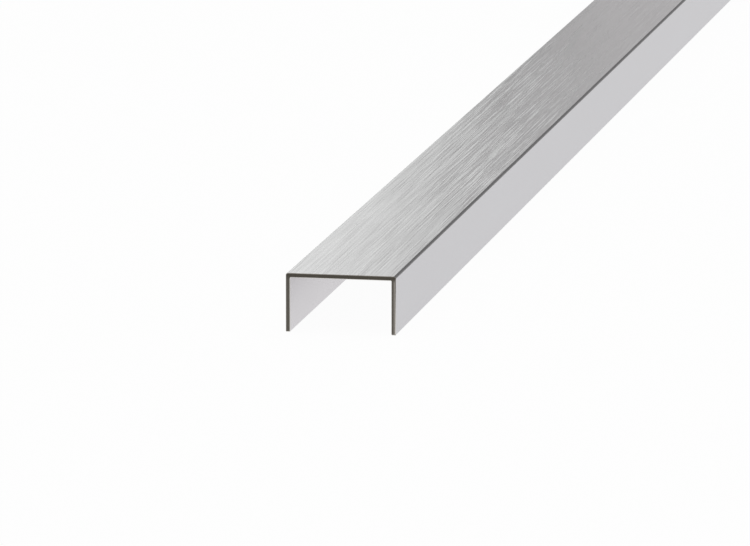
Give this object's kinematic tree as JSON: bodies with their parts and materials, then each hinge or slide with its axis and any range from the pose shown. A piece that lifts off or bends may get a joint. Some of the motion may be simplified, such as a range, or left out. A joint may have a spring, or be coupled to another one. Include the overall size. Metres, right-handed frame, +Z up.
{
  "type": "aluminium u-channel profile",
  "caption": "Straight thin-walled aluminium U-channel with a brushed web, plain satin flanges and square-sawn ends; its groove trims or holds the edge of a panel.",
  "frame": {"origin": "under the middle of the bar, on the plane that the two flange tips stand on", "axes": "+Y along the bar, +X across it from flange to flange, +Z up from the flange tips to the web"},
  "size_m": [0.03, 1, 0.016],
  "materials": {
    "brushed_aluminium": "web brushed along its length, flanges plain satin, ends sawn and deburred"
  },
  "bodies": {
    "root": {"u_channel": "brushed_aluminium"}
  },
  "joints": []
}
